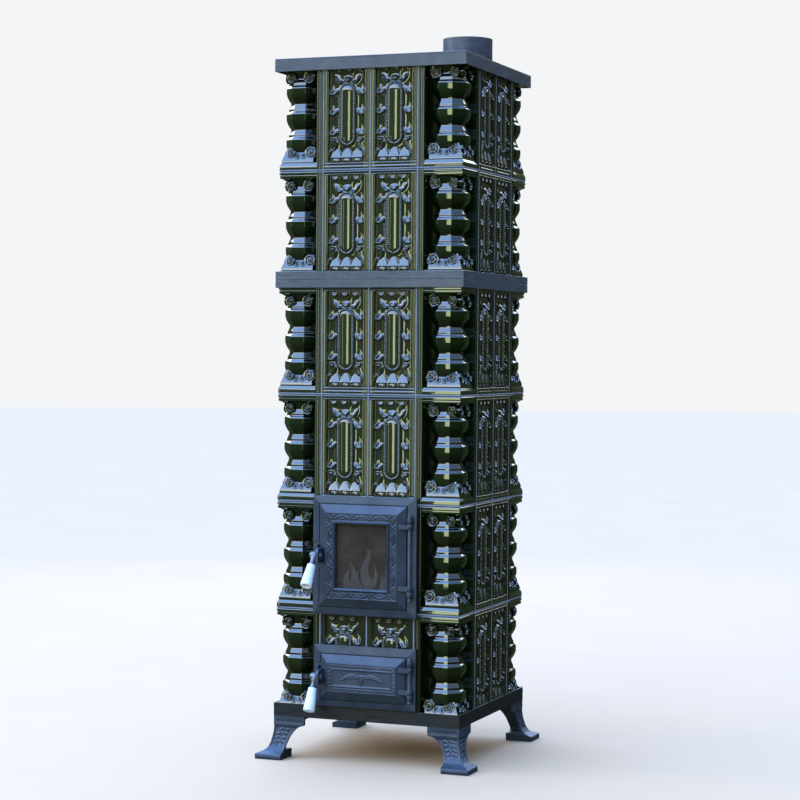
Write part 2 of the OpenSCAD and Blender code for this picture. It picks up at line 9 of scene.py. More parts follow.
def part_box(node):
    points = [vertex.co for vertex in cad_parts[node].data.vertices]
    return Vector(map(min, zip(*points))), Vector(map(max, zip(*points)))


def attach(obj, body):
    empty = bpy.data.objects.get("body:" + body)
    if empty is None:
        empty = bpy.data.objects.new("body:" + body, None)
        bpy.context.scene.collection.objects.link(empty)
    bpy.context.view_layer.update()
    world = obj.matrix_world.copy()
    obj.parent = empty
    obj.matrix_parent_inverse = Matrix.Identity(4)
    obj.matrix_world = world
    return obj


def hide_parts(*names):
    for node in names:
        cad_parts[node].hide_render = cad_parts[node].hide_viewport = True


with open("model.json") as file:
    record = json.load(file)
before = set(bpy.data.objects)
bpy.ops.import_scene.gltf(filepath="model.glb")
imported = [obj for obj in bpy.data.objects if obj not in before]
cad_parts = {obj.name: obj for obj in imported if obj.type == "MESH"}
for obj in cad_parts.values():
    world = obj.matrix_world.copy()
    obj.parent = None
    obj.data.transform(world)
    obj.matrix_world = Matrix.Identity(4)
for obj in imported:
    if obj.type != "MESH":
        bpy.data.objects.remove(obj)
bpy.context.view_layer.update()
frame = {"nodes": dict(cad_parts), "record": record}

# Looks of a tiled wood burning stove: glazed relief tiles, cast doors with
# ornament, cast legs, forged levers with porcelain grips, and every finish.

MM = 0.001
nodes = frame["nodes"]

# ---- Measures taken from the frame -----------------------------------------

# Lengths are in millimetres, apart from AXIS, which is in metres.
ROWS = range(1, 7)
# Mortar joint between two tiles
JOINT = 3.0
# Upright axis of the tiled body
base_low, base_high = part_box("base_frame")
AXIS = Vector((0, (base_low.y + base_high.y) / 2, 0))
# Flat tile's width and height
flat_low, flat_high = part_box("front_tiles_row_3")
FLAT_W = ((flat_high.x - flat_low.x) / MM - JOINT) / 2
TILE_H = (flat_high.z - flat_low.z) / MM
# Half the tiled body's width, the width of a corner tile's face, and how far
# the middle of a flat tile is from the middle of its wall
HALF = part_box("corner_tiles_row_1")[1].x / MM
CORNER_W = HALF - FLAT_W - 1.5 * JOINT
FLAT_X = (FLAT_W + JOINT) / 2
# From a tile's front plane to its back
TILE_DEPTH = 30.0
# Spacing of the points that carry a tile's relief
GRID = 1.05


# ---- Mesh helpers ----------------------------------------------------------

def new_object(name, data):
    """Object in the scene that shows the data."""
    made = bpy.data.objects.new(name, data)
    bpy.context.scene.collection.objects.link(made)
    return made


def make_object(name, shells, slot, sharp=45, relief=None):
    """One object from shells, each a pair of points in millimetres and faces,
    with the finish of its slot."""
    points, faces, start = [], [], 0
    for shell_points, shell_faces in shells:
        points.append(np.asarray(shell_points, float))
        faces += [tuple(int(i) + start for i in face) for face in shell_faces]
        start += len(shell_points)
    mesh = bpy.data.meshes.new(name)
    mesh.from_pydata((np.concatenate(points) * MM).tolist(), [], faces)
    # A relief attribute, if given, carries the painted shade of the glaze's colour: how far back each
    # point lies.
    if relief is not None:
        attribute = mesh.attributes.new("relief", "FLOAT", "POINT")
        attribute.data.foreach_set("value", np.asarray(relief, np.float32))
    mesh.validate()
    mesh.shade_smooth()
    mesh.set_sharp_from_angle(angle=math.radians(sharp))
    mesh.materials.append(FINISHES[slot])
    return new_object(name, mesh)


def settle(piece, body, slot, *cad_nodes):
    """The piece rides on its body and stands for any CAD nodes given; the slot is not used."""
    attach(piece, body)
    if cad_nodes:
        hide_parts(*cad_nodes)


def shared_mesh(name, shells, slot, **settings):
    """Mesh of shells that several objects will share."""
    piece = make_object(name, shells, slot, **settings)
    mesh = piece.data
    bpy.data.objects.remove(piece)
    return mesh


def turned_copy(name, mesh, turn, spot=(0, 0, 0)):
    """Object of a shared mesh at a spot in millimetres, turned about the
    stove's axis by degrees."""
    piece = new_object(name, mesh)
    spin = Matrix.Rotation(math.radians(turn), 4, "Z")
    piece.matrix_world = Matrix.Translation(AXIS) @ spin @ Matrix.Translation(Vector(spot) * MM)
    return piece


def box_shell(low, high):
    """Closed block between two corners."""
    corners = [(x, y, z) for z in (low[2], high[2]) for y in (low[1], high[1]) for x in (low[0], high[0])]
    faces = [(0, 2, 3, 1), (4, 5, 7, 6), (0, 1, 5, 4), (2, 6, 7, 3), (0, 4, 6, 2), (1, 3, 7, 5)]
    return np.array(corners, float), faces


def loft(rings):
    """Closed shell through rings of points, capped at both ends. The rings run
    anticlockwise as seen from the last one."""
    rings = np.asarray(rings, float)
    count, around = rings.shape[:2]
    faces = []
    for ring in range(0, (count - 1) * around, around):
        for i in range(around):
            beside = (i + 1) % around
            faces.append((ring + i, ring + beside, ring + around + beside, ring + around + i))
    faces.append(tuple(range(around - 1, -1, -1)))
    faces.append(tuple((count - 1) * around + i for i in range(around)))
    return rings.reshape(-1, 3), faces


def lathe(profile, around=32):
    """Solid of revolution about Z from (radius, z) points, lowest first."""
    turns = np.linspace(0, 2 * math.pi, around, endpoint=False)
    return loft([[(r * math.cos(a), r * math.sin(a), z) for a in turns] for r, z in profile])


def turned(shell, matrix):
    """The shell moved by a 4x4 matrix, in millimetres."""
    points, faces = shell
    m = np.array(matrix)
    return points @ m[:3, :3].T + m[:3, 3], faces


def prism(outline, y0, y1):
    """Closed plate of an outline in X and Z, from y0 in front to y1 behind."""
    return loft([[(x, y, z) for x, z in outline] for y in (y1, y0)])


def relief_plate(u, v, height, depth, keep=None):
    """Closed plate whose front, at y = -height, follows a height field over the
    grid lines u and v. Cells where keep is false are left open."""
    columns, rows = len(u), len(v)
    across, up = np.meshgrid(u, v)
    front = np.stack([across, -height, up], -1).reshape(-1, 3)
    cells = np.ones((rows - 1, columns - 1), bool) if keep is None else keep
    index = np.arange(rows * columns).reshape(rows, columns)
    corners = np.stack([index[:-1, :-1], index[:-1, 1:], index[1:, 1:], index[1:, :-1]], -1)[cells]
    ends = np.concatenate([corners[:, [k, (k + 1) % 4]] for k in range(4)])
    key = ends.min(1) * rows * columns + ends.max(1)
    single = np.isin(key, [k for k, n in zip(*np.unique(key, return_counts=True)) if n == 1])
    rim = ends[single]
    back = front.copy()
    back[:, 1] = depth
    if keep is None:
        loop = np.concatenate([index[0, :-1], index[:-1, -1], index[-1, :0:-1], index[:0:-1, 0]])
        place = {int(old): rows * columns + new for new, old in enumerate(loop)}
        sides = [(b, a, place[int(a)], place[int(b)]) for a, b in rim]
        faces = corners.tolist() + sides + [tuple(place[int(i)] for i in loop[::-1])]
        return np.concatenate([front, back[loop]]), faces
    shift = rows * columns
    sides = [(b, a, a + shift, b + shift) for a, b in rim]
    behind = (corners[:, ::-1] + shift).tolist()
    return np.concatenate([front, back]), corners.tolist() + sides + behind


def steps(low, high, size):
    """Evenly spaced grid lines, about size apart."""
    return np.linspace(low, high, max(2, round((high - low) / size) + 1))


# ---- Relief on the tiles ---------------------------------------------------

# Heights are measured from the tile's front plane, u from the middle of the
# tile and v from its foot.
# Ground between the ornaments
FIELD = -7.0
# Where the fluted uprights start
BORDER = 44.5


def smooth(value):
    """Smooth step from 0 to 1."""
    value = np.clip(value, 0, 1)
    return value * value * (3 - 2 * value)


def arc(start, middle, end, count=12):
    """Points along a curve that leaves start, bends towards middle and meets end."""
    t = np.linspace(0, 1, count)[:, None]
    start, middle, end = (np.array(p, float) for p in (start, middle, end))
    return (1 - t) ** 2 * start + 2 * t * (1 - t) * middle + t * t * end


def signed_distance(u, v, line):
    """Distance to a line of points, positive on its upper side if it runs right,
    and the share of the line at which it is nearest."""
    nearest = np.full(u.shape, 1e9)
    side = np.zeros(u.shape)
    share = np.zeros(u.shape)
    for k, (p, q) in enumerate(zip(line[:-1], line[1:])):
        d = q - p
        t = np.clip(((u - p[0]) * d[0] + (v - p[1]) * d[1]) / (d @ d), 0, 1)
        du, dv = u - p[0] - t * d[0], v - p[1] - t * d[1]
        distance = np.hypot(du, dv)
        closer = distance < nearest
        nearest = np.where(closer, distance, nearest)
        side = np.where(closer, d[0] * dv - d[1] * du, side)
        share = np.where(closer, (k + t) / (len(line) - 1), share)
    return nearest * np.where(side < 0, -1, 1), share


def hook(height, u, v, line, above=3.9, below=1.3, top=-0.4):
    """Raises a crest along the line, lower at its ends: a long hollow slope above
    it, a steep drop below."""
    d, share = signed_distance(u, v, line)
    fall = (np.sqrt(d * d + 0.3) - 0.55) / np.where(d > 0, above, below)
    fade = 0.1 + 0.9 * smooth(4 * np.minimum(share, 1 - share))
    return np.maximum(height, FIELD + (top - FIELD) * fade * np.exp(-fall))


def drapery(height, u, v):
    """Cusps between the hanging folds, on both sides of the medallion."""
    for side in (-1, 1):
        for level in (169, 124, 77):
            cusp = (side * 42, level + 1)
            outer_arm = arc((side * 35.5, level + 18), (side * 37.5, level + 7), cusp, 6)
            lip = arc(cusp, (side * 26, level - 6), (side * 21.5, level + 15))
            swag = np.concatenate([outer_arm, lip[1:]])
            height = hook(height, u, v, swag if side < 0 else swag[::-1])
        shoulder = arc((side * 32, 214), (side * 21, 184), (side * 9, 200))
        foot = arc((side * 40, 71), (side * 33, 55), (side * 27, 70))
        stem = arc((side * 26, 66), (side * 27, 48), (side * 36, 38))
        outer = arc((side * 38, 44), (side * 42, 36), (side * 45, 25))
        for line in (shoulder, foot):
            height = hook(height, u, v, line if side < 0 else line[::-1])
        for line in (stem, outer):
            height = hook(height, u, v, line, above=2.6, below=2.6, top=-1.0)
    crossing = arc((-9, 209), (0, 188), (10, 209))
    return hook(height, u, v, crossing, above=6.0, below=2.0)


def petals(height, u, v):
    """Three pointed petals leaning back, over round bosses."""
    foot, tip, width = 24.5, 47.0, 28.0
    for middle in (-26, 0, 26):
        t = np.clip((v - foot) / (tip - foot), 0, 1)
        half = width / 2 * (1 - t ** 2) ** 0.8
        inside = smooth((half - np.abs(u - middle)) / 1.2) * (v >= foot) * (v <= tip)
        across = np.clip(np.abs(u - middle) / np.maximum(half, 0.5), 0, 1)
        lean = (7.0 - 6.6 * t) * (1 - 0.16 * across ** 2)
        height = np.maximum(height, FIELD + inside * lean)
        r = np.hypot((u - middle) / 8.5, (v - 16.5) / 8.0)
        boss = np.where((r < 1) & (v > 16.5), -3.6 + 2.8 * np.sqrt(np.clip(1 - r * r, 0, 1)), FIELD)
        ring = np.where(v > 16.5, -3.0 + 2.2 * np.exp(-(((r - 1.15) / 0.12) ** 2)), FIELD)
        height = np.maximum(height, np.where(r < 1.35, np.maximum(boss, ring), FIELD))
    return height


def scallops(height, u, v):
    """Three shells that hang from the top moulding, each with a bead."""
    level = 233.0
    for middle in (-28, -2.5, 23.5):
        r = np.hypot((u - middle) / 9.0, (v - level) / 12.0)
        shell = -4.6 + 3.4 * np.exp(-(((r - 0.86) / 0.33) ** 2)) + 1.6 * np.exp(-((r / 0.25) ** 2))
        height = np.where((v < level) & (r < 1), np.maximum(height, shell), height)
    return height


def medallion(height, u, v):
    """Long convex oval inside a beaded rope."""
    centre, half_w, half_h, rope, bead = 122.7, 19.6, 71.0, 2.4, 4.6
    straight = half_h - half_w
    beyond = np.sign(v - centre) * np.maximum(np.abs(v - centre) - straight, 0)
    outside = np.hypot(u, beyond) - half_w
    round_end = np.sign(beyond) * straight + np.arctan2(beyond, np.abs(u)) * half_w
    run = np.where(beyond == 0, v - centre, round_end)
    across = np.abs(outside + rope) / rope
    cord = np.sqrt(np.clip(1 - across ** 2, 0, 1)) * (0.72 + 0.42 * np.cos(2 * math.pi * run / bead))
    inner = np.clip((-outside - 2 * rope) / (half_w - 2 * rope), 0, 1)
    dome = -4.6 + 4.4 * np.sqrt(np.clip(1 - (1 - inner) ** 2, 0, 1))
    apron = FIELD + 4.5 * np.exp(-np.maximum(outside, 0) / 2.2)
    height = np.where(outside > 0, np.maximum(height, apron), height)
    height = np.where(outside <= 0, -3.6 + 2.7 * cord, height)
    return np.where(outside < -2 * rope, dome, height)


def tile_border(height, u, v):
    """Fluted uprights, a double moulding at the top and one at the foot."""
    flutes = sum(np.exp(-(((np.abs(u) - x) / 0.7) ** 2)) for x in (47.4, 50.4, 53.4))
    upright = -0.5 - 1.1 * flutes
    wall = smooth((np.abs(u) - BORDER + 1.5) / 1.5)
    height = height + (upright - height) * wall
    head = smooth((v - 232.5) / 1.2)
    moulding = -0.5 - 3.0 * np.exp(-(((v - 237) / 1.1) ** 2))
    height = height + (moulding - height) * head
    sill = smooth((16.5 - v) / 1.2)
    ledge = -0.6 - 3.2 * np.exp(-(((v - 14.8) / 1.0) ** 2)) - 1.8 * np.exp(-(((v - 7.5) / 1.6) ** 2))
    return height + (ledge - height) * sill * (1 - 0.6 * wall)


def rounded_edges(height, u, v, low):
    """Lets the tile's edges fall away, most at the top, where the edge is sloped."""
    side = np.clip(1 - (FLAT_W / 2 - np.abs(u)) / 1.8, 0, 1)
    top = np.clip(1 - (TILE_H - v) / 3.6, 0, 1)
    foot = np.clip(1 - (v - low) / 1.8, 0, 1)
    return height - 1.5 * side ** 2 - 3.2 * top ** 1.5 - 1.5 * foot ** 2


def flat_heights(u, v, low):
    """Whole relief of a flat tile. Zero is the tile's front plane."""
    span = np.clip((np.abs(u) - 19) / (BORDER - 19), 0, 1)
    height = FIELD - 1.2 * np.sin(math.pi * span) + 0.16 * np.sin(2 * math.pi * u / 5.2)
    height = drapery(height, u, v)
    height = petals(height, u, v)
    height = scallops(height, u, v)
    height = medallion(height, u, v)
    height = tile_border(height, u, v)
    return rounded_edges(height, u, v, low)


def hollow_shade_values(points):
    """0 in the deepest hollows and 1 on the crests, for the glaze's colour, which it darkens towards the
    hollows as painted shade.
    """
    return np.clip(1 + points[:, 1] / 8.0, 0, 1)


def flat_tile(name, low=0.0):
    """Mesh of a flat tile, cut off below low, with its foot at z = low."""
    u = steps(-FLAT_W / 2, FLAT_W / 2, GRID)
    v = steps(low, TILE_H, GRID)
    across, up = np.meshgrid(u, v)
    shell = relief_plate(u, v, flat_heights(across, up, low), TILE_DEPTH)
    return shared_mesh(name, [shell], "green_glaze", sharp=70, relief=hollow_shade_values(shell[0]))


# ---- Corner tile -----------------------------------------------------------

# Width of the beaded strip at the tile's edge, and depth of the niche
STRIP = 15.0
NICHE = 30.0
# From each face to the column's axis
COLUMN_AXIS = 46.0
# From the column's axis to its facets, at the waist and at a ring
WAIST = 31.0
RING = 41.0
# Rings: how many, how high, how far apart, the foot of the lowest, and the
# height of the swelling under each
RINGS = 3
RING_H = 16.0
RING_STEP = 59.0
LOWEST_RING = 55.5
UNDERSIDE = 19.0
RING_FEET = [LOWEST_RING + i * RING_STEP for i in range(RINGS)]


def corner_station(turn, inset, corner_r=3.0):
    """Point of the square outline's rounded corner, moved in by inset."""
    middle = max(corner_r, inset)
    r = max(corner_r - inset, 0)
    return -middle + r * math.sin(turn), middle - r * math.cos(turn)


def corner_sweep(profile, length):
    """Closed moulding round the corner: a closed profile of (inset, z) points
    swept along both faces, to length from the corner."""
    rings = [[(-length, inset, z) for inset, z in profile]]
    for turn in np.linspace(0, math.pi / 2, 5):
        rings.append([(*corner_station(turn, inset), z) for inset, z in profile])
    rings.append([(-inset, length, z) for inset, z in profile])
    return loft([ring[::-1] for ring in rings])


def column_radius(z):
    """Distance of the column's facets from its axis at height z: above each
    ring a slope, a riser and a longer slope, below it a swelling underside."""
    rise = ((0.0, RING), (3.6, RING - 4.6), (5.0, RING - 5.2), (9.5, RING - 5.6),
            (16.0, WAIST + 1.6), (20.0, WAIST + 0.2), (24.0, WAIST))
    for foot in RING_FEET:
        if foot - UNDERSIDE <= z < foot:
            t = (foot - z) / UNDERSIDE
            return WAIST + (RING - 0.8 - WAIST) * (1 - t ** 1.5)
        if foot <= z < foot + RING_H:
            return RING
        if foot + RING_H <= z < foot + RING_STEP - UNDERSIDE:
            return float(np.interp(z - foot - RING_H, *zip(*rise)))
    return WAIST


def octagon(radius, z, edge_r=1.6):
    """Ring of an eight sided section with slightly rounded edges."""
    ring = []
    inner = radius - edge_r
    reach = inner / math.cos(math.pi / 8)
    for corner in range(8):
        middle = (corner + 0.5) * math.pi / 4
        x, y = reach * math.cos(middle), reach * math.sin(middle)
        for turn in np.linspace(-math.pi / 8, math.pi / 8, 4):
            a = middle + turn
            edge_x, edge_y = edge_r * math.cos(a), edge_r * math.sin(a)
            ring.append((-COLUMN_AXIS + x + edge_x, COLUMN_AXIS + y + edge_y, z))
    return ring


def column():
    """Eight sided column with three rings between the base and the capital."""
    foot_z, top_z, step, capital = 30, 229, 1.6, 205
    sliver, clear = 0.01, 0.5
    heights = (-sliver, sliver, RING_H - sliver, RING_H + sliver)
    edges = [foot + h for foot in RING_FEET for h in heights]
    levels = sorted(set(np.round(np.arange(foot_z, top_z, step), 3)) | set(edges))
    levels = [z for z in levels if all(abs(z - e) > clear or z == e for e in edges)]
    rings = []
    for z in levels:
        radius = column_radius(z)
        for foot in RING_FEET:
            if foot <= z < foot + RING_H:
                radius -= 0.9 * max(0, 1 - min(z - foot, foot + RING_H - z) / 1.4)
        if z > capital:
            radius += (z - capital) ** 2 / 60
        rings.append(octagon(radius, z))
    return loft(rings)


def volute(x, z, front, radius, flip, lean=0.0):
    """Scroll on the front face: a disc with a spiral ridge that ends in an eye."""
    turns, radial = 48, 16
    angles = np.linspace(0, 2 * math.pi, turns, endpoint=False)
    pitch = radius / 2.3
    rings = [[(radius * math.cos(a), TILE_DEPTH - 2 - front, radius * math.sin(a)) for a in angles]]
    for k in range(radial + 1):
        r = radius * (1 - k / (radial + 0.4))
        ring = []
        for a in angles:
            phase = (r / pitch - flip * a / (2 * math.pi)) % 1.0
            ridge = math.exp(-(((phase - 0.5) / 0.2) ** 2))
            eye = math.exp(-((r / (0.22 * radius)) ** 2))
            edge = smooth((radius - r) / 1.6)
            h = (2.6 * max(ridge, eye) - 2.2) * edge + 1.8 * (edge - 1)
            ring.append((r * math.cos(a), -h + lean * r * math.sin(a) / radius, r * math.sin(a)))
        rings.append(ring)
    return turned(loft(rings), Matrix.Translation((x, front, z)))


def face_pair(shell):
    """The shell on the front face, and its mirror image on the side face."""
    points, faces = shell
    other = np.stack([-points[:, 1], -points[:, 0], points[:, 2]], -1)
    return [(points, faces), (other, [face[::-1] for face in faces])]


def strip_heights(u, v):
    """Fluted strip with a line of fine beads along its middle."""
    bead = 0.5 + 0.5 * np.cos(2 * math.pi * v / 4.6)
    middle = np.abs(u - STRIP / 2)
    groove = np.exp(-(((middle - 2.2) / 0.7) ** 2))
    height = -0.5 - 1.1 * groove - 0.9 * np.exp(-((middle / 1.3) ** 2)) * bead
    edge = np.clip(1 - np.minimum(u, STRIP - u) / 1.8, 0, 1)
    top = np.clip(1 - (TILE_H - v) / 3.2, 0, 1)
    foot = np.clip(1 - v / 1.8, 0, 1)
    return height - 1.4 * edge ** 2 - 2.8 * top ** 1.5 - 1.4 * foot ** 2


def border_strip():
    """The strip at the far edge of the front face."""
    u, v = steps(0, STRIP, GRID), steps(0, TILE_H, GRID)
    across, up = np.meshgrid(u, v)
    shell = relief_plate(u, v, strip_heights(across, up), TILE_DEPTH)
    return turned(shell, Matrix.Translation((-CORNER_W, 0, 0)))


def corner_shells():
    """All closed shells of one corner tile, with its corner at the origin."""
    cap = [
        (TILE_DEPTH, 244), (3.4, 244), (0.6, 241.4), (0.3, 240.4), (0.3, 236.4), (0.7, 235.9),
        (3.2, 235.6), (3.2, 234.4), (1.7, 234.0), (1.5, 233.4), (1.5, 228.6), (2.0, 227.8),
        (7.0, 226.0), (12.0, 222.0), (TILE_DEPTH, 222.0)
    ]
    plinth = [
        (TILE_DEPTH, 17.6), (4.0, 17.6), (5.2, 17.2), (5.2, 15.8), (3.6, 15.2), (0.8, 9.4), (0.4, 8.6),
        (0.4, 1.2), (1.4, 0), (TILE_DEPTH, 0)
    ]
    apron = [
        (TILE_DEPTH, 52), (16.5, 52), (15.5, 47), (12.8, 41), (9.4, 34), (6.4, 27), (4.6, 21.5),
        (3.9, 17.4), (TILE_DEPTH, 17.4)
    ]
    back = box_shell((-CORNER_W + STRIP - 1, NICHE, 4), (-NICHE, NICHE + 6, TILE_H - 4))
    shells = [corner_sweep(cap, CORNER_W - STRIP + 0.5), corner_sweep(plinth, CORNER_W - STRIP + 0.5)]
    shells.append(corner_sweep(apron, CORNER_W - STRIP - 10))
    shells.append(column())
    for part in (border_strip(), back):
        shells += face_pair(part)
    for x, z, front, radius, flip, lean in (
        (-71, 211, 7.0, 14.0, 1, 0.0), (-27, 211, 7.0, 11.5, -1, 0.0),
        (-75, 41, 7.0, 14.5, -1, 3.0), (-26, 39, 7.0, 11.5, 1, 3.0),
        (-58, 31, 6.5, 8.0, 1, 3.0), (-42, 31, 6.5, 8.0, -1, 3.0),
    ):
        shells += face_pair(volute(x, z, front, radius, flip, lean))
    return shells


def corner_mesh():
    """Mesh of a corner tile, its colour darkened towards the depth of the niche as painted shade."""
    shells = corner_shells()
    points = np.concatenate([s[0] for s in shells])
    inset = np.minimum(-points[:, 0], points[:, 1])
    # Painted shade: the further in from the faces, the darker the glaze's colour.
    relief = np.clip(1 - inset / 14.0, 0, 1)
    return shared_mesh("corner_tile_mesh", shells, "green_glaze", sharp=38, relief=relief)


# ---- Placing the tiles -----------------------------------------------------

# Degrees from the front about the stove's axis
SIDES = {"front": 0, "right": 90, "back": 180, "left": 270}


def place_tiles():
    """Four corner tiles in each row, and two flat ones on each wall that has
    them in that row. The two over the ash door are cut at the foot."""
    flat = flat_tile("flat_tile_mesh")
    corner = corner_mesh()
    for row in ROWS:
        node = f"corner_tiles_row_{row}"
        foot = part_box(node)[0].z / MM
        for side, turn in SIDES.items():
            piece = turned_copy(f"corner_tile_{row}_{side}", corner, turn, (HALF, -HALF, foot))
            settle(piece, "stove", "green_glaze", node)
        for side, turn in SIDES.items():
            node = f"front_tiles_row_{row}" if side == "front" else f"wall_tiles_row_{row}"
            if node not in nodes:
                continue
            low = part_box(node)[0].z / MM - foot
            mesh = flat_tile("cut_tile_mesh", low) if low > 1 else flat
            for x, hand in ((-FLAT_X, "a"), (FLAT_X, "b")):
                piece = turned_copy(f"flat_tile_{row}_{side}_{hand}", mesh, turn, (x, -HALF, foot))
                settle(piece, "stove", "green_glaze", node)


# ---- Materials -------------------------------------------------------------

class NodeTree:
    """Short ways to build the node tree of a material or a world."""

    def __init__(self, owner):
        owner.use_nodes = True
        self.tree = owner.node_tree

    def node(self, kind, **settings):
        """A new node with its settings."""
        made = self.tree.nodes.new("ShaderNode" + kind)
        for key, value in settings.items():
            setattr(made, key, value)
        return made

    def put(self, value, socket):
        """Gives an input a number or a vector, or links an output to it."""
        if isinstance(value, bpy.types.NodeSocket):
            self.tree.links.new(value, socket)
        else:
            socket.default_value = value

    def fill(self, made, **values):
        """Puts values in the node's inputs. An underscore stands for a space."""
        for key, value in values.items():
            self.put(value, made.inputs[key.replace("_", " ")])
        return made

    def coords(self, per_object=False):
        """Coordinates in metres, shifted from object to object if asked."""
        vector = self.node("TexCoord").outputs["Object"]
        if per_object:
            shift = self.node("VectorMath", operation="ADD")
            self.put(vector, shift.inputs[0])
            self.put(self.node("ObjectInfo").outputs["Random"], shift.inputs[1])
            vector = shift.outputs[0]
        return vector

    def axes(self, vector):
        """The X, Y and Z of a vector."""
        return self.fill(self.node("SeparateXYZ"), Vector=vector).outputs

    def noise(self, size, detail=4, roughness=0.6, stretch=(1, 1, 1), per_object=False):
        """Noise whose features are about size metres."""
        mapping = self.fill(self.node("Mapping"), Scale=stretch, Vector=self.coords(per_object))
        made = self.fill(self.node("TexNoise"), Scale=1 / size, Detail=detail,
                         Roughness=roughness, Vector=mapping.outputs[0])
        return made.outputs["Fac"]

    def ramp(self, value, stops):
        """Colour from a value through (position, colour) stops."""
        made = self.fill(self.node("ValToRGB"), Fac=value)
        elements = made.color_ramp.elements
        while len(elements) < len(stops):
            elements.new(0.5)
        for element, (position, colour) in zip(elements, stops):
            element.position = position
            element.color = (*colour, 1)
        return made.outputs["Color"]

    def mix(self, share, first, second):
        """Blend of two colours; either may be a socket or a colour."""
        made = self.node("Mix", data_type="RGBA")
        for value, place in ((share, 0), (first, 6), (second, 7)):
            self.put((*value, 1) if isinstance(value, tuple) else value, made.inputs[place])
        return made.outputs[2]

    def fit(self, value, low, high, start=0.0, end=1.0):
        """The value's range start to end, mapped to low to high."""
        made = self.fill(self.node("MapRange"), Value=value, From_Min=start, From_Max=end,
                         To_Min=low, To_Max=high)
        return made.outputs["Result"]


class Finish(NodeTree):
    """A principled material."""

    def __init__(self, name, **settings):
        self.material = bpy.data.materials.new(name)
        super().__init__(self.material)
        self.shader = self.fill(self.tree.nodes["Principled BSDF"], **settings)

    def bump(self, value, depth, strength=1.0):
        """Adds a bump of depth metres, on top of earlier ones."""
        made = self.fill(self.node("Bump"), Strength=strength, Distance=depth, Height=value)
        earlier = self.shader.inputs["Normal"]
        if earlier.is_linked:
            self.put(earlier.links[0].from_socket, made.inputs["Normal"])
        self.put(made.outputs["Normal"], earlier)

    def colour(self, output):
        self.put(output, self.shader.inputs["Base Color"])

    def roughness(self, output):
        self.put(output, self.shader.inputs["Roughness"])


def glaze_finish():
    """Bottle green glaze, made nearly black in the hollows by painted shade, with brown patches that grow
    stronger towards the floor."""
    f = Finish("bottle_green_glaze", IOR=1.6, Coat_Weight=0.6, Coat_Roughness=0.02)
    relief = f.node("Attribute", attribute_name="relief").outputs["Fac"]
    # Painted shade: the ramp darkens the green the further back the surface lies.
    green = f.ramp(relief, [(0.0, (0.001, 0.003, 0.001)), (0.45, (0.003, 0.007, 0.002)),
                            (0.88, (0.007, 0.016, 0.005)), (1.0, (0.015, 0.018, 0.009))])
    cloud = f.noise(0.045, 5, per_object=True)
    brown = f.mix(f.fit(cloud, 0.0, 0.75, 0.45, 0.75), green, (0.013, 0.008, 0.006))
    place = f.axes(f.node("NewGeometry").outputs["Position"])
    lower = f.fit(place["Z"], 0.75, 0.0, 0.1, 0.9)
    f.colour(f.mix(lower, green, brown))
    f.roughness(f.fit(f.noise(0.012, 3, per_object=True), 0.02, 0.10, 0.3, 0.8))
    f.bump(f.noise(0.026, 2, per_object=True), 0.0008, 0.3)
    return f.material


def cast_iron_finish(name, dark, light):
    """Blue grey stove paint over sand cast iron: fine grain, worn lighter patches."""
    f = Finish(name, Metallic=0.35, IOR=1.5)
    grain = f.noise(0.0016, 6, 0.7)
    patch = f.noise(0.05, 5)
    base = f.mix(f.fit(patch, 0.0, 1.0, 0.3, 0.75), dark, light)
    f.colour(f.mix(f.fit(grain, 0.0, 0.35, 0.45, 0.8), base, light))
    f.roughness(f.fit(grain, 0.36, 0.58, 0.3, 0.7))
    f.bump(grain, 0.0004, 0.5)
    f.bump(f.noise(0.008, 4), 0.0006, 0.25)
    return f.material


def painted_steel_finish(name, dark, light, worn):
    """Rolled angle steel under slate blue paint, with faint streaks along the bar."""
    f = Finish(name, Metallic=0.2, IOR=1.5)
    streak = f.noise(0.006, 5, 0.6, (0.15, 0.15, 1.0))
    dust = f.noise(0.03, 5)
    base = f.ramp(streak, [(0.3, dark), (0.7, light)])
    f.colour(f.mix(f.fit(dust, 0.0, 0.3, 0.5, 0.75), base, worn))
    f.roughness(f.fit(streak, 0.34, 0.52, 0.3, 0.7))
    f.bump(f.noise(0.0012, 3), 0.0002, 0.35)
    return f.material


def mortar_finish():
    """Sandy grey blue mortar."""
    f = Finish("slate_mortar", Roughness=0.85)
    sand = f.noise(0.0012, 5, 0.7)
    patchy = f.mix(0.5, sand, f.noise(0.03, 4))
    f.colour(f.ramp(patchy, [(0.3, (0.075, 0.095, 0.135)), (0.7, (0.17, 0.20, 0.26))]))
    f.bump(sand, 0.0006, 0.6)
    return f.material


def clay_finish():
    """Rough dried clay."""
    f = Finish("packed_clay", Roughness=0.9)
    sand = f.noise(0.002, 6, 0.7)
    f.colour(f.ramp(sand, [(0.3, (0.24, 0.18, 0.13)), (0.7, (0.42, 0.34, 0.26))]))
    f.bump(sand, 0.001, 0.7)
    return f.material


def firebrick_finish():
    """Buff firebricks in running bond, sooted, with open joints."""
    f = Finish("sooted_firebrick", Roughness=0.9)
    place = f.axes(f.coords())
    along = f.node("Math", operation="ADD")
    f.put(place["X"], along.inputs[0])
    f.put(place["Y"], along.inputs[1])
    wall = f.fill(f.node("CombineXYZ"), X=along.outputs[0], Y=place["Z"])
    brick = f.fill(
        f.node("TexBrick"), Vector=wall.outputs[0], Scale=1.0, Brick_Width=0.23, Row_Height=0.114,
        Mortar_Size=0.003, Mortar_Smooth=0.2, Color1=(0.34, 0.25, 0.18, 1),
        Color2=(0.26, 0.19, 0.14, 1), Mortar=(0.03, 0.025, 0.02, 1))
    soot = f.fit(f.noise(0.12, 5), 0.1, 0.7, 0.3, 0.7)
    f.colour(f.mix(soot, brick.outputs["Color"], (0.06, 0.045, 0.035)))
    f.bump(f.noise(0.003, 5, 0.7), 0.0012, 0.6)
    f.bump(f.fit(brick.outputs["Fac"], 1.0, 0.0), 0.002, 0.8)
    return f.material


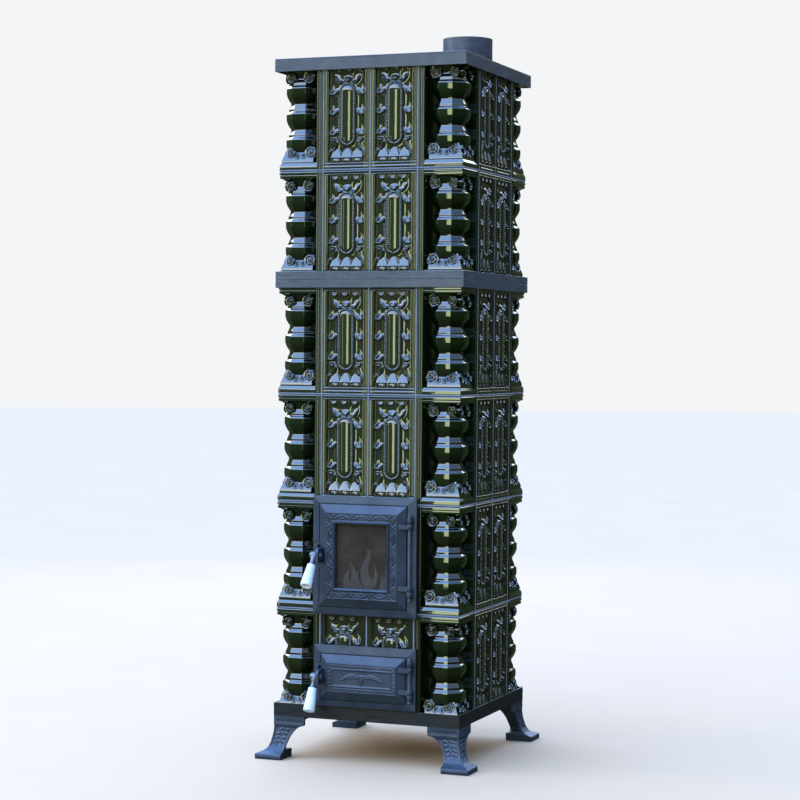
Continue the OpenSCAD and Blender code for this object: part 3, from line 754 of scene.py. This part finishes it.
def porcelain_finish():
    """Glossy white porcelain, faintly clouded."""
    f = Finish("white_porcelain", IOR=1.5, Coat_Weight=0.6, Coat_Roughness=0.04)
    cloud = f.noise(0.012, 4)
    f.colour(f.ramp(cloud, [(0.3, (0.46, 0.55, 0.61)), (0.7, (0.58, 0.66, 0.71))]))
    f.roughness(f.fit(cloud, 0.12, 0.26))
    f.bump(f.noise(0.004, 2), 0.0002, 0.2)
    return f.material


def glass_finish():
    """Heat glass with a brown film, which lets the firebox show dimly."""
    f = Finish("smoked_stove_glass", IOR=1.5, Alpha=0.42)
    film = f.noise(0.04, 4)
    f.colour(f.ramp(film, [(0.3, (0.040, 0.030, 0.024)), (0.7, (0.075, 0.060, 0.048))]))
    f.roughness(f.fit(film, 0.05, 0.14))
    return f.material


def flame_finish():
    """Grey scale on cut sheet steel."""
    f = Finish("flame_steel", Metallic=0.3)
    grain = f.noise(0.004, 5)
    f.colour(f.ramp(grain, [(0.3, (0.16, 0.15, 0.17)), (0.7, (0.24, 0.23, 0.26))]))
    f.roughness(f.fit(grain, 0.4, 0.6))
    f.bump(grain, 0.0003, 0.3)
    return f.material


def rope_finish():
    """Braided glass fibre rope."""
    f = Finish("braided_rope", Roughness=0.95, Sheen_Weight=0.3)
    weave = f.node("TexWave", bands_direction="DIAGONAL")
    f.fill(weave, Scale=120, Distortion=1.5, Vector=f.coords())
    f.colour(f.ramp(weave.outputs["Fac"], [(0.0, (0.22, 0.21, 0.20)), (1.0, (0.55, 0.54, 0.52))]))
    f.bump(weave.outputs["Fac"], 0.001, 0.8)
    return f.material


def metal_finish(name, dark, light, rough, metallic=0.9):
    """Bare or zinc plated steel with faint scratches."""
    f = Finish(name, Metallic=metallic)
    scratch = f.noise(0.003, 6, 0.7, (1, 1, 0.2))
    f.colour(f.ramp(scratch, [(0.3, dark), (0.7, light)]))
    f.roughness(f.fit(scratch, rough - 0.08, rough + 0.1, 0.3, 0.7))
    f.bump(scratch, 0.0002, 0.3)
    return f.material


FINISHES = {
    "green_glaze": glaze_finish(),
    "cast_iron": cast_iron_finish("blue_grey_cast_iron", (0.016, 0.024, 0.040), (0.038, 0.052, 0.078)),
    "painted_steel": painted_steel_finish(
        "slate_painted_steel", (0.034, 0.042, 0.056), (0.058, 0.070, 0.090), (0.11, 0.12, 0.14)),
    # Painted shade: a much darker copy of the slate paint, for the frame under the tiles.
    "shade_dark_steel": painted_steel_finish(
        "shade_darkened_painted_steel", (0.003, 0.004, 0.006), (0.008, 0.010, 0.014), (0.018, 0.020, 0.025)),
    "porcelain": porcelain_finish(),
    "stove_glass": glass_finish(),
    "flame_grey": flame_finish(),
    "rope_seal": rope_finish(),
    "firebrick": firebrick_finish(),
    "clay": clay_finish(),
    "mortar": mortar_finish(),
    "pan_steel": metal_finish("galvanised_sheet", (0.20, 0.21, 0.22), (0.34, 0.35, 0.37), 0.45, 0.8),
    "bright_steel": metal_finish("bright_steel", (0.30, 0.31, 0.33), (0.50, 0.51, 0.53), 0.32),
    "forged_steel": metal_finish("forged_steel", (0.075, 0.088, 0.110), (0.160, 0.180, 0.215), 0.4, 0.7),
}


def dress_cad_nodes():
    """Every CAD node gets the finish of its slot in the record. The frame under the tiles gets
    a darker copy of the paint than the other frames, as painted shade."""
    slots = {part["node"]: part["material_slot"] for part in frame["record"]["subparts"]}
    # Painted shade on the frame under the tiles.
    slots["base_frame"] = "shade_dark_steel"
    for name, obj in nodes.items():
        finish = FINISHES[slots[name]]
        if not obj.material_slots:
            obj.data.materials.append(finish)
        for slot in obj.material_slots:
            slot.material = finish


# ---- Doors -----------------------------------------------------------------

# From a lever pin's middle back to the face of the leaf, and to the frame's face
PIN_TO_LEAF = 13.0
PIN_TO_FRAME = 27.5
# Half width and half height of the raised panel on each leaf
FIRE_PANEL = (88.0, 98.5)
ASH_PANEL = (86.0, 33.5)
# Width and height of each leaf
LEAVES = {"fire_door": (212.0, 233.0), "ash_door": (208.0, 103.0)}


def box_centre(node):
    """Middle of a CAD node's box, in millimetres."""
    low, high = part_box(node)
    return (low + high) / (2 * MM)


def bell(distance, width):
    """Rounded ridge of height 1 where the distance is zero."""
    return np.exp(-((distance / width) ** 2))


def ellipse(s, t, half_s, half_t):
    """Rounded boss of height 1 inside an ellipse."""
    return np.sqrt(np.clip(1 - (s / half_s) ** 2 - (t / half_t) ** 2, 0, 1))


def vine(s, t, wave=46.0):
    """Arches over small leaves, with crossed leaves between them."""
    local = (s + wave / 2) % wave - wave / 2
    arch = bell(t - 3.6 + 7.4 * (local / 17) ** 2, 1.3) * smooth((18.5 - np.abs(local)) / 2)
    leaf = ellipse(local, t + 2.6, 8.5, 2.4) - 0.5 * bell(t + 2.6, 0.5) * (np.abs(local) < 7)
    knot = np.abs(local) - wave / 2
    crossed = np.maximum(bell(knot - 0.75 * t, 1.3), bell(knot + 0.75 * t, 1.3))
    cross = crossed * smooth((6.8 - np.abs(t)) / 1.5)
    return 2.3 * np.maximum(np.maximum(arch, 0.8 * leaf), 0.9 * cross)


def rope_border(s, t):
    """Row of slanted leaves that overlap like a rope."""
    phase = ((s + 0.7 * t) / 8.6) % 1.0
    return 1.6 * smooth((4.4 - np.abs(t)) / 1.5) * np.sqrt(1 - phase) * smooth(phase * 6)


def panel_border(u, v, panel, width, moulding, pattern):
    """Heights of a border inside a panel's edge, and the distance from the edge."""
    from_side, from_end = panel[0] - np.abs(u), panel[1] - np.abs(v)
    d = np.minimum(from_side, from_end)
    s = np.where(from_end < from_side, u, v)
    inside = smooth((d - 3.0) / 1.0) * smooth((width - d) / 1.0)
    height = 0.3 + 1.1 * bell(d - 1.6, 1.1) + inside * pattern(s, 0.5 * width + 1.0 - d)
    return height + moulding * bell(d - width - 3.0, 2.2), d


def cast_on(door, shell, level):
    """Puts a relief on a door's leaf, with its middle at a height."""
    x, pin = box_centre("fire_door_glass").x, box_centre(f"{door}_lever_pin")
    shell = turned(shell, Matrix.Translation((x, pin.y + PIN_TO_LEAF, level)))
    piece = make_object(f"{door}_ornament", [shell], "cast_iron", sharp=60)
    settle(piece, door, "cast_iron")


def fire_door_ornament():
    """Vine border and the moulding round the glass, cast with the leaf."""
    glass_low, glass_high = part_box("fire_door_glass")
    overlap = 10
    glass = (glass_high - glass_low) / MM / 2
    opening = (glass.x - overlap, glass.z - overlap)
    u, v = (np.unique(np.concatenate([steps(-p, -o, 1.0), steps(-o, o, 1.0), steps(o, p, 1.0)]).round(4))
            for p, o in zip(FIRE_PANEL, opening))
    across, up = np.meshgrid(u, v)
    height, d = panel_border(across, up, FIRE_PANEL, 18.5, 3.0, vine)
    height = height + 1.6 * smooth((d - 19) / 3.0)
    middle_u, middle_v = (u[:-1] + u[1:]) / 2, (v[:-1] + v[1:]) / 2
    cell_u, cell_v = np.meshgrid(middle_u, middle_v)
    keep = (np.abs(cell_u) > opening[0]) | (np.abs(cell_v) > opening[1])
    cast_on("fire_door", relief_plate(u, v, height, 1.0, keep), box_centre("fire_door_glass").z)


def wings(u, v):
    """Two feathered leaves that spread from the top of a latticed cone."""
    a = np.abs(u)
    line = 7.5 * np.sin(math.pi * a / 44) - 2.0
    width = 4.6 * np.sin(math.pi * np.clip(a, 0, 51.9) / 52) ** 0.7 + 0.4
    leaf = smooth((width - np.abs(v - line)) / 1.4) * smooth((52 - a) / 3)
    feather = 0.35 * np.sin(2 * math.pi * (a + 1.4 * (v - line)) / 4.4)
    height = leaf * (1.7 + feather) - 0.8 * leaf * bell(v - line, 0.7)
    half = 10.5 * np.clip((v + 19) / 27, 0, 1)
    cone = smooth((half - a) / 1.4) * smooth((9 - v) / 2.0)
    lattice = bell((u + v) % 5.2 - 2.6, 0.9) + bell((u - v) % 5.2 - 2.6, 0.9)
    return np.maximum(height, cone * (1.4 + 0.9 * np.minimum(lattice, 1)))


def rim_bar(start, end, y, rise):
    """Bar of a door frame's rim. Each end is an outer and an inner (x, z) corner;
    the face slopes up from the outer edge to the inner one."""
    return loft([
        [(ox, y + 0.5, oz), (ox, y - 0.5, oz), (ix, y - rise, iz), (ix, y + 0.5, iz)]
        for (ox, oz), (ix, iz) in (start, end)
    ])


def frame_rim(door, gap=2.2, rise=3.6, latch_room=30.0):
    """Mitred rim on a door frame, which leaves a shadow gap round the leaf and
    room for the latch."""
    low, high = (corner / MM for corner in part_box(f"{door}_frame"))
    width, height = LEAVES[door]
    x, z = box_centre("fire_door_glass").x, box_centre(door).z
    pin = box_centre(f"{door}_lever_pin")
    left, right = x - width / 2 - gap, x + width / 2 + gap
    foot, top = z - height / 2 - gap, z + height / 2 + gap
    corners = [
        ((low.x, low.z), (left, foot)), ((high.x, low.z), (right, foot)),
        ((high.x, high.z), (right, top)), ((low.x, high.z), (left, top)),
    ]
    levels = (pin.z + latch_room, pin.z - latch_room)
    upper, lower = (((low.x, level), (left, level)) for level in levels)
    ends = list(zip(corners[:3], corners[1:])) + [(corners[3], upper), (lower, corners[0])]
    shells = [rim_bar(start, end, pin.y + PIN_TO_FRAME, rise) for start, end in ends]
    piece = make_object(f"{door}_frame_rim", shells, "cast_iron", sharp=30)
    settle(piece, "stove", "cast_iron")


def ash_door_ornament():
    """Rope border, inner moulding and winged cone of the ash door."""
    u, v = (steps(-p, p, 1.0) for p in ASH_PANEL)
    across, up = np.meshgrid(u, v)
    height, d = panel_border(across, up, ASH_PANEL, 11.0, 1.6, rope_border)
    height = height + smooth((d - 16) / 2.0) * wings(across, up)
    cast_on("ash_door", relief_plate(u, v, height, 1.0), box_centre("ash_door").z)


# Centre lines of the flames from the sill to the tip: x, height, half width.
FLAMES = (
    ((14, 0, 8), (10, 16, 12), (4, 36, 10), (5, 52, 8), (11, 68, 6), (14.5, 80, 4.2),
     (11.5, 92, 2), (5, 101, 0)),
    ((21, 0, 5.4), (26.5, 14, 6.2), (31, 28, 4.8), (32.5, 38, 3.4), (30, 48, 2.2),
     (25.5, 56, 1.1), (22, 60, 0)),
    ((-8, 0, 11), (-12.6, 14, 6), (-15, 26, 3.8), (-13, 36, 2.4), (-8, 44, 0)),
    ((-26, 0, 8.6), (-25, 20, 4.6), (-21.5, 34, 4.6), (-23.5, 45, 4), (-28.5, 54, 2), (-30.5, 60, 0)),
    ((-36, 0, 9.7), (-40.5, 14, 8), (-41, 25, 6.2), (-38, 35, 3.2), (-33.5, 43, 0)),
    ((52, 0, 8), (53, 16, 7), (57, 29, 4), (58, 41, 2.3), (55.5, 52, 0)),
    ((44, 0, 5), (46.5, 14, 4.4), (46, 24, 2.6), (43.5, 32, 0)),
)


def curve_through(knots, values, t):
    """Smooth curve through the values, with the slopes of their neighbours."""
    slope = np.gradient(values, knots)
    k = np.clip(np.searchsorted(knots, t, side="right") - 1, 0, len(knots) - 2)
    gap = knots[k + 1] - knots[k]
    q = (t - knots[k]) / gap
    return ((2 * q ** 3 - 3 * q ** 2 + 1) * values[k] + (q ** 3 - 2 * q ** 2 + q) * gap * slope[k]
            + (3 * q ** 2 - 2 * q ** 3) * values[k + 1] + (q ** 3 - q ** 2) * gap * slope[k + 1])


def tongue(line, middle, foot):
    """Outline of one flame, widened from its centre line."""
    x, z, half = (np.array(column, float) for column in zip(*line))
    ends = np.linspace(0, 1, len(line))
    t = np.linspace(0, 1, 6 * len(line))
    eased = [curve_through(ends, values, t) for values in (x, z, half)]
    left = [(middle + a - h, foot + b) for a, b, h in zip(*eased)]
    right = [(middle + a + h, foot + b) for a, b, h in zip(*eased)]
    return left + right[-2::-1]


def flame_screen():
    """Cut sheet flames that stand behind the glass, each a little behind the last."""
    low, high = (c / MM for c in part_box("flame_screen"))
    sill = 9.0
    end = (high.x - low.x) / 2
    middle = (low.x + high.x) / 2
    outlines = [tongue(line, middle, low.z + sill - 1) for line in FLAMES]
    outlines.append([(middle - end, low.z), (middle - end, low.z + sill),
                     (middle + end, low.z + sill), (middle + end, low.z)])
    thick = (high.y - low.y) / 2
    step = 0.06
    shells = [prism(line, low.y + step * k, low.y + step * k + thick) for k, line in enumerate(outlines)]
    piece = make_object("cut_flames", shells, "flame_grey")
    settle(piece, "fire_door", "flame_grey", "flame_screen")


def along_handle(door):
    """Frame at the latch pin whose Z points down the handle."""
    pin, grip = box_centre(f"{door}_lever_pin"), box_centre(f"{door}_grip")
    start = Vector((grip.x, pin.y, pin.z))
    turn = (grip - start).to_track_quat("Z", "X").to_matrix().to_4x4()
    return Matrix.Translation(start) @ turn


def turned_on_handle(door, part, profile, around, slot, *cad_nodes):
    """A turned part along a door's handle, which rides on the latch."""
    shell = turned(lathe(profile, around), along_handle(door))
    piece = make_object(f"{door}_{part}", [shell], slot, sharp=50)
    settle(piece, f"{door}_latch", slot, *cad_nodes)


def porcelain_grip(door):
    """Turned grip, wider towards its end, where the rod's hole shows."""
    profile = [
        (5.0, 27.0), (8.2, 27.0), (9.4, 27.5), (10.0, 28.6), (10.2, 30.2), (9.7, 31.6), (9.9, 33.2),
        (10.5, 40.0), (11.4, 50.0), (12.4, 61.0), (13.2, 71.0), (13.5, 76.0), (13.3, 78.6), (12.6, 80.6),
        (11.5, 81.5), (10.0, 81.6), (8.4, 81.1), (7.2, 79.6), (6.6, 76.5), (6.4, 71.0), (5.0, 70.5)
    ]
    turned_on_handle(door, "porcelain", profile, 40, "porcelain", f"{door}_grip")


def handle_neck(door):
    """Forged swelling between the lever's hub and the grip."""
    profile = [
        (4.0, 1.0), (8.0, 3.0), (8.2, 7.0), (7.0, 11.0), (5.9, 15.0), (5.4, 19.0), (5.6, 22.0),
        (7.0, 23.2), (7.6, 24.6), (7.2, 26.2), (4.7, 26.8)
    ]
    turned_on_handle(door, "neck", profile, 28, "forged_steel")


# ---- Legs ------------------------------------------------------------------

LEG_SHAPE = (
    # height, corner's place, width of a face, thickness of the casting
    (97.0, 228.0, 77.0, 50.0), (92.5, 228.0, 77.0, 50.0), (91.5, 228.0, 77.0, 7.0),
    (79.0, 228.0, 77.0, 7.0), (77.5, 228.0, 76.0, 7.0), (76.5, 227.6, 72.0, 7.0),
    (74.5, 227.4, 65.0, 7.0), (72.0, 227.4, 60.0, 7.0), (67.0, 227.8, 54.0, 7.0),
    (60.0, 228.6, 48.0, 7.0), (50.0, 230.2, 43.0, 7.0), (38.0, 233.0, 41.0, 7.0),
    (28.0, 236.6, 41.5, 7.0), (22.0, 240.5, 44.0, 12.0), (18.0, 246.0, 50.0, 50.0),
    (15.0, 252.5, 57.0, 57.0), (13.2, 257.5, 62.0, 62.0), (12.0, 260.2, 64.4, 64.4),
    (11.0, 261.0, 65.0, 65.0), (1.0, 261.0, 65.0, 65.0), (0.0, 260.2, 64.0, 64.0),
)


def leg_relief(a, width, z):
    """Cast border and foliage on a leg's face, a from its outer corner."""
    wave = 19.0
    panel = smooth((z - 26) / 3) * smooth((74 - z) / 3)
    edge = np.minimum(a, width - a)
    sunk = smooth((edge - 3.4) / 1.2)
    turn = 2 * math.pi * z / wave
    across = a - width / 2
    foliage = bell(across - 4.0 * math.sin(turn), 1.5)
    for side in (-1, 1):
        rise = (z - side * wave / 4) % (wave / 2) - wave / 4
        leaf = ellipse(across - side * 8.5, rise + 0.35 * (side * across - 8.5), 5.2, 3.4)
        foliage = np.maximum(foliage, leaf)
    return panel * sunk * (1.7 * foliage - 2.0) - 0.9 * bell(z - 84.5, 4.5) * smooth((edge - 4) / 2)


def leg_ring(z, corner, width, thick):
    """Section of the right front leg: an L whose two faces carry the relief."""
    points_across = 38
    shares = np.linspace(1, 0, points_across)
    inner = min(thick, width - 0.4)
    ring = []
    for share in shares[:-1]:
        a = max(share * width, 1.2)
        ring.append((corner - a, -corner - leg_relief(a, width, z), z))
    ring.append((corner - 0.45, -corner + 0.45, z))
    for x, y, _ in ring[-2::-1]:
        ring.append((-y, -x, z))
    ring += [(corner - inner, -corner + width, z), (corner - inner, -corner + inner, z),
             (corner - width, -corner + inner, z)]
    return ring


def leg_shell():
    """Leg lofted through its shape's sections, with more between them where
    the relief is."""
    heights, *measures = np.array(LEG_SHAPE)[::-1].T
    levels = np.unique(np.concatenate([heights, np.arange(24, 92, 1.3)]))
    levels = [z for z in levels if z in heights or np.abs(heights - z).min() > 0.6]
    return loft([leg_ring(z, *(np.interp(z, heights, m) for m in measures)) for z in levels])


def place_legs():
    """The same casting at all four corners."""
    mesh = shared_mesh("leg_mesh", [leg_shell()], "cast_iron", sharp=40)
    for quarter, corner in enumerate(("front_right", "back_right", "back_left", "front_left")):
        leg = turned_copy(f"cast_{corner}_leg", mesh, 90 * quarter)
        settle(leg, "stove", "cast_iron", f"leg_{corner}")


def soften_edges():
    """Small rounding on the edges of the sharp CAD castings and bars."""
    bars = ("top_frame", "lower_top_frame", "upper_base_frame", "base_frame", "top_plate",
            "fire_door_lever", "ash_door_lever")
    rounding = {"fire_door": 0.9, "ash_door": 0.9, "fire_door_frame": 1.0, "ash_door_frame": 1.0}
    rounding.update(dict.fromkeys(bars, 0.8))
    for name, width in rounding.items():
        weld = nodes[name].modifiers.new("weld", "WELD")
        weld.merge_threshold = 0.00001
        bevel = nodes[name].modifiers.new("soft_edges", "BEVEL")
        bevel.width = width * MM
        bevel.segments = 2
        bevel.limit_method = "ANGLE"
        bevel.angle_limit = math.radians(40)
        bevel.harden_normals = True


place_tiles()
dress_cad_nodes()
fire_door_ornament()
ash_door_ornament()
flame_screen()
for door_name in ("fire_door", "ash_door"):
    frame_rim(door_name)
    porcelain_grip(door_name)
    handle_neck(door_name)
place_legs()
soften_edges()


# ---- Stage -----------------------------------------------------------------

# Camera: bearing from the stove's front in degrees, distance from its axis
# and height in metres, then where it points in degrees and its lens in mm
CAMERA_BEARING = 21.206
CAMERA_REACH = 5.0985
CAMERA_HEIGHT = 0.9403
CAMERA_YAW = 21.307
CAMERA_PITCH = -1.289
CAMERA_ROLL = 0.452
CAMERA_LENS = 97.05


def place_camera():
    """Camera below the stove's top, looking at it from the front and right."""
    azimuth = math.radians(CAMERA_BEARING)
    yaw, pitch, roll = (math.radians(a) for a in (CAMERA_YAW, CAMERA_PITCH, CAMERA_ROLL))
    data = bpy.data.cameras.new("camera")
    data.lens, data.sensor_width = CAMERA_LENS, 36
    camera = new_object("camera", data)
    aside, ahead = CAMERA_REACH * math.sin(azimuth), CAMERA_REACH * math.cos(azimuth)
    spot = Matrix.Translation(AXIS + Vector((aside, -ahead, CAMERA_HEIGHT)))
    level = Matrix.Rotation(yaw, 4, "Z") @ Matrix.Rotation(math.pi / 2 + pitch, 4, "X")
    camera.matrix_world = spot @ level @ Matrix.Rotation(roll, 4, "Z")
    bpy.context.scene.camera = camera


# Brightness of the sky, and the floor's radius in metres
SKY = 7.0
FLOOR_R = 30.0


def place_floor():
    """Plain pale floor, which does not show in reflections."""
    bpy.ops.mesh.primitive_circle_add(vertices=96, radius=FLOOR_R, fill_type="NGON")
    floor = bpy.context.object
    floor.name = "floor"
    finish = Finish("pale_floor", Roughness=1.0, IOR=1.0)
    warm = (0.48, 0.325, 0.205)
    finish.colour(finish.ramp(finish.noise(0.4, 3), [(0.3, warm), (0.7, tuple(1.03 * c for c in warm))]))
    floor.data.materials.append(finish.material)
    floor.visible_glossy = False


def softbox(name, bearing, height, reach, size, radiance, colour):
    """Upright area light at a bearing from the stove's front, aimed at it."""
    data = bpy.data.lights.new(name, "AREA")
    data.shape, data.size, data.size_y = "RECTANGLE", size[0], size[1]
    data.energy, data.color = radiance * math.pi * size[0] * size[1], colour
    light = new_object(name, data)
    turn = math.radians(bearing)
    light.location = (reach * math.sin(turn), AXIS.y - reach * math.cos(turn), height)
    aim = Vector((0, AXIS.y, 0.85))
    light.rotation_euler = (aim - light.location).to_track_quat("-Z", "Y").to_euler()
    light.visible_camera = False


def place_lights():
    """Softboxes that put narrow bright patches on the glaze."""
    softbox("front_strip", -8, 1.1, 4.8, (1.1, 2.4), 5.5, (0.84, 0.95, 0.52))
    softbox("left_softbox", -72, 2.4, 4.2, (1.1, 2.2), 5.0, (0.96, 0.98, 1.0))
    softbox("low_left_strip", -38, 0.9, 5.0, (0.3, 1.8), 3.0, (0.80, 0.92, 0.50))
    softbox("back_softbox", 205, 2.2, 4.2, (1.4, 1.6), 3.0, (0.92, 0.96, 1.0))
    softbox("right_strip", 112, 1.3, 4.2, (0.25, 2.0), 1.2, (0.86, 0.92, 0.80))


def place_sky():
    """Soft surrounding light: dark up to 16 degrees over the horizon, then a
    white band, blue overhead, and all of it weaker on the right. The camera
    sees a plain pale background instead."""
    world = bpy.data.worlds.new("studio")
    bpy.context.scene.world = world
    sky = NodeTree(world)
    direction = sky.axes(sky.node("TexCoord").outputs["Generated"])
    shade = sky.ramp(direction["Z"], [
        (0.0, (0.012, 0.016, 0.009)), (0.27, (0.016, 0.020, 0.012)), (0.37, (1.0, 1.05, 1.1)),
        (0.47, (0.42, 0.66, 1.1)), (1.0, (0.24, 0.46, 1.0)),
    ])
    side = sky.fit(direction["X"], SKY, 0.22 * SKY, -0.1, 0.55)
    light = sky.fill(sky.node("VectorMath", operation="SCALE"), Scale=side)
    sky.put(shade, light.inputs[0])
    seen = sky.node("LightPath").outputs["Is Camera Ray"]
    shown = sky.mix(seen, light.outputs[0], (0.90, 0.91, 0.92))
    sky.fill(sky.tree.nodes["Background"], Color=shown)


place_camera()
place_floor()
place_lights()
place_sky()
bpy.context.scene.view_settings.view_transform = "Standard"
